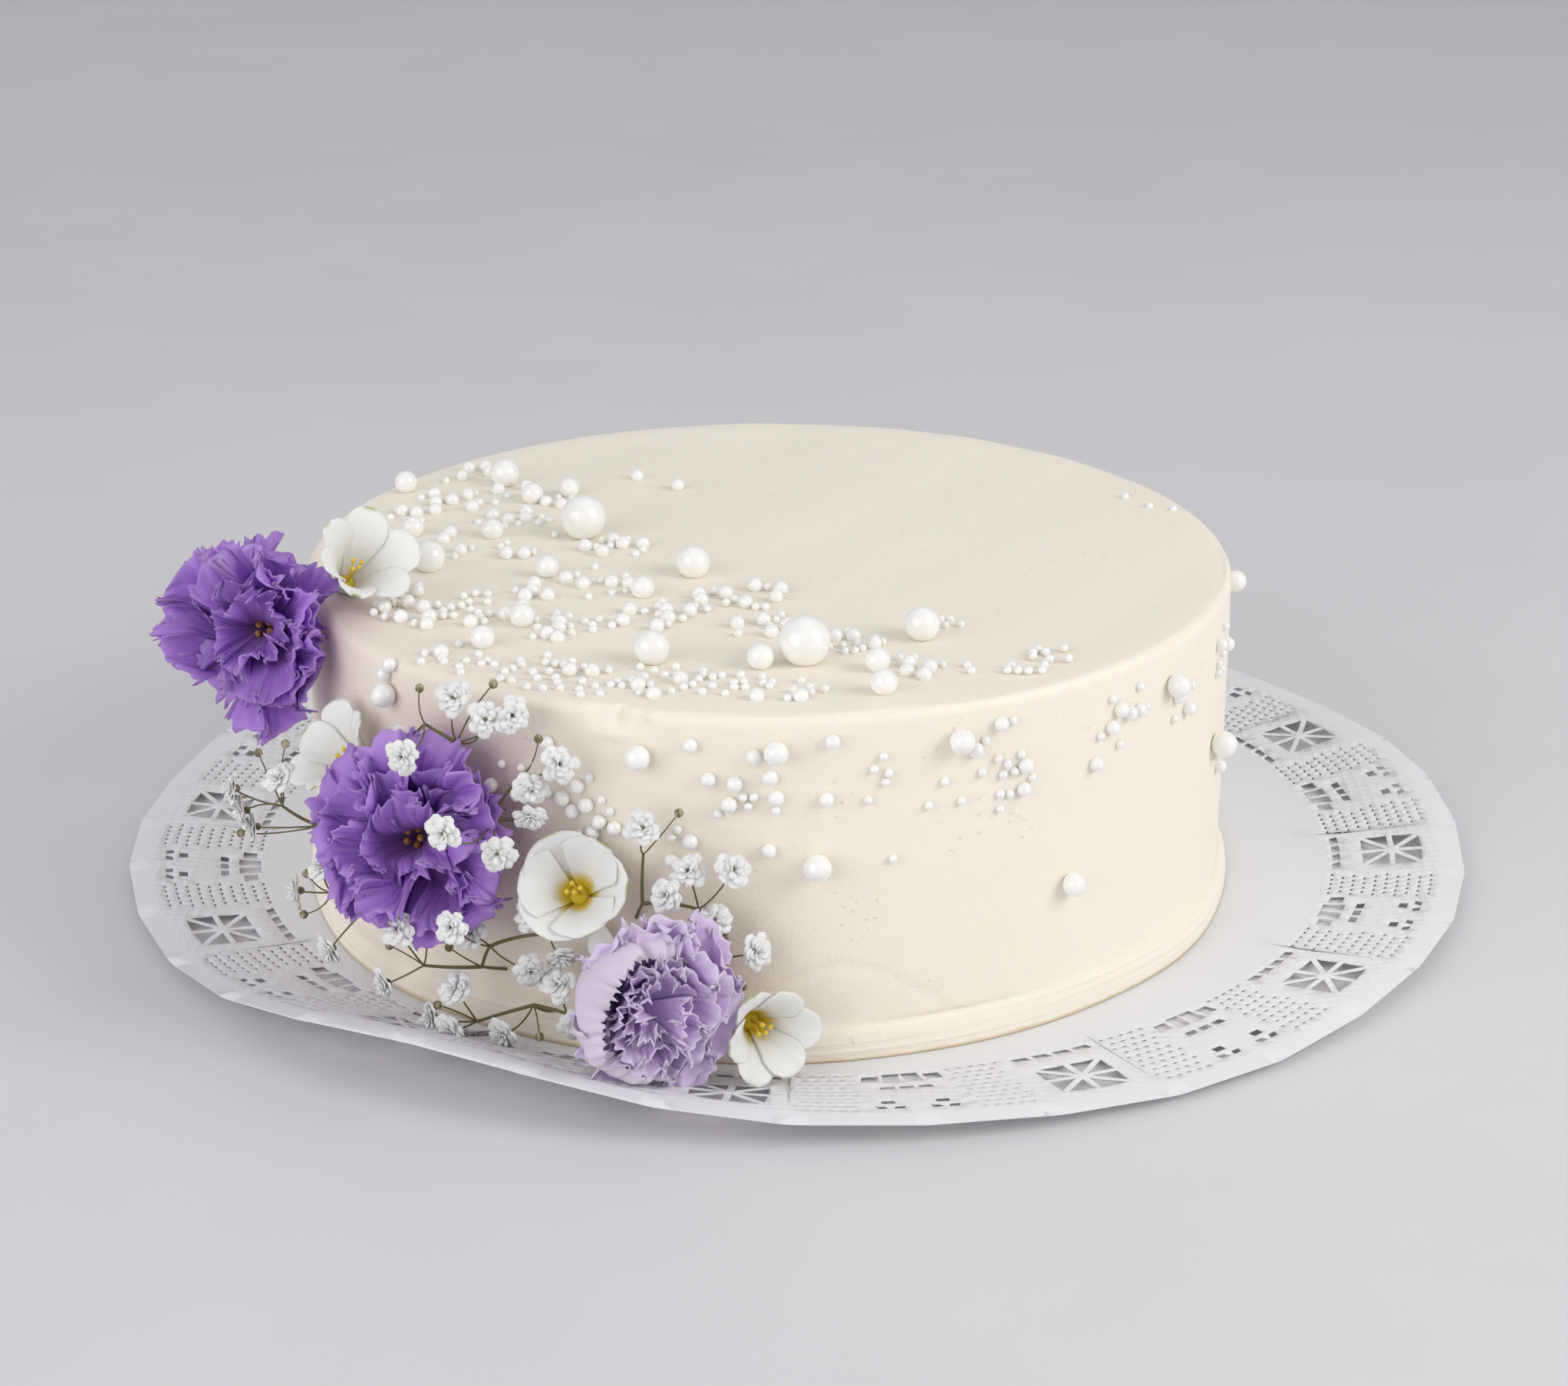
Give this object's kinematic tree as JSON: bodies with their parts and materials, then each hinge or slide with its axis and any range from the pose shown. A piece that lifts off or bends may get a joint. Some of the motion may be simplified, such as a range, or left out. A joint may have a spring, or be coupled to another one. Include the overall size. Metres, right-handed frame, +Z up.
{
  "type": "wedding cake",
  "caption": "Round iced wedding cake with sugar pearls and fresh flowers climbing one side, on a scalloped lace paper doily",
  "frame": {"origin": "on the cake's vertical axis, at the flat underside of the doily that the cake stands on", "axes": "+Z up, -Y to the front of the cake, +X to the right seen from the front; the flowers climb the left front"},
  "size_m": [0.376, 0.376, 0.1173],
  "materials": {
    "icing": "smooth spatula-finished ivory buttercream with fine air pits",
    "sugar_pearl": "pearlised hard sugar shell",
    "petal_violet": "matte ruffled petals with pale veins",
    "petal_lilac": "matte ruffled petals, paler outside",
    "petal_white": "matte white petals, yellow-green in the throat",
    "sprig": "thin olive stems with small white florets",
    "doily_paper": "thin white pierced and embossed paper"
  },
  "bodies": {
    "root": {"cake": "icing", "doily": "doily_paper", "lisianthus_1": "petal_violet", "lisianthus_2": "petal_violet", "lisianthus_3": "petal_lilac", "freesia_1": "petal_white", "freesia_2": "petal_white", "freesia_3": "petal_white", "freesia_4": "petal_white", "freesia_bud": "petal_white", "babys_breath_1": "sprig", "babys_breath_2": "sprig", "babys_breath_3": "sprig", "babys_breath_4": "sprig", "babys_breath_5": "sprig", "babys_breath_6": "sprig", "pearl_top_1": "sugar_pearl", "pearl_top_2": "sugar_pearl", "pearl_top_3": "sugar_pearl", "pearl_top_4": "sugar_pearl", "pearl_top_5": "sugar_pearl", "pearl_top_6": "sugar_pearl", "pearl_top_7": "sugar_pearl", "pearl_top_8": "sugar_pearl", "pearl_top_9": "sugar_pearl", "pearl_top_10": "sugar_pearl", "pearl_top_11": "sugar_pearl", "pearl_top_12": "sugar_pearl", "pearl_top_13": "sugar_pearl", "pearl_top_14": "sugar_pearl", "pearl_top_15": "sugar_pearl", "pearl_top_16": "sugar_pearl", "pearl_top_17": "sugar_pearl", "pearl_top_18": "sugar_pearl", "pearl_top_19": "sugar_pearl", "pearl_side_1": "sugar_pearl", "pearl_side_2": "sugar_pearl", "pearl_side_3": "sugar_pearl", "pearl_side_4": "sugar_pearl", "pearl_side_5": "sugar_pearl", "pearl_side_6": "sugar_pearl", "pearl_side_7": "sugar_pearl", "pearl_side_8": "sugar_pearl", "pearl_side_9": "sugar_pearl", "pearl_side_10": "sugar_pearl", "pearl_side_11": "sugar_pearl", "pearl_side_12": "sugar_pearl"}
  },
  "joints": []
}
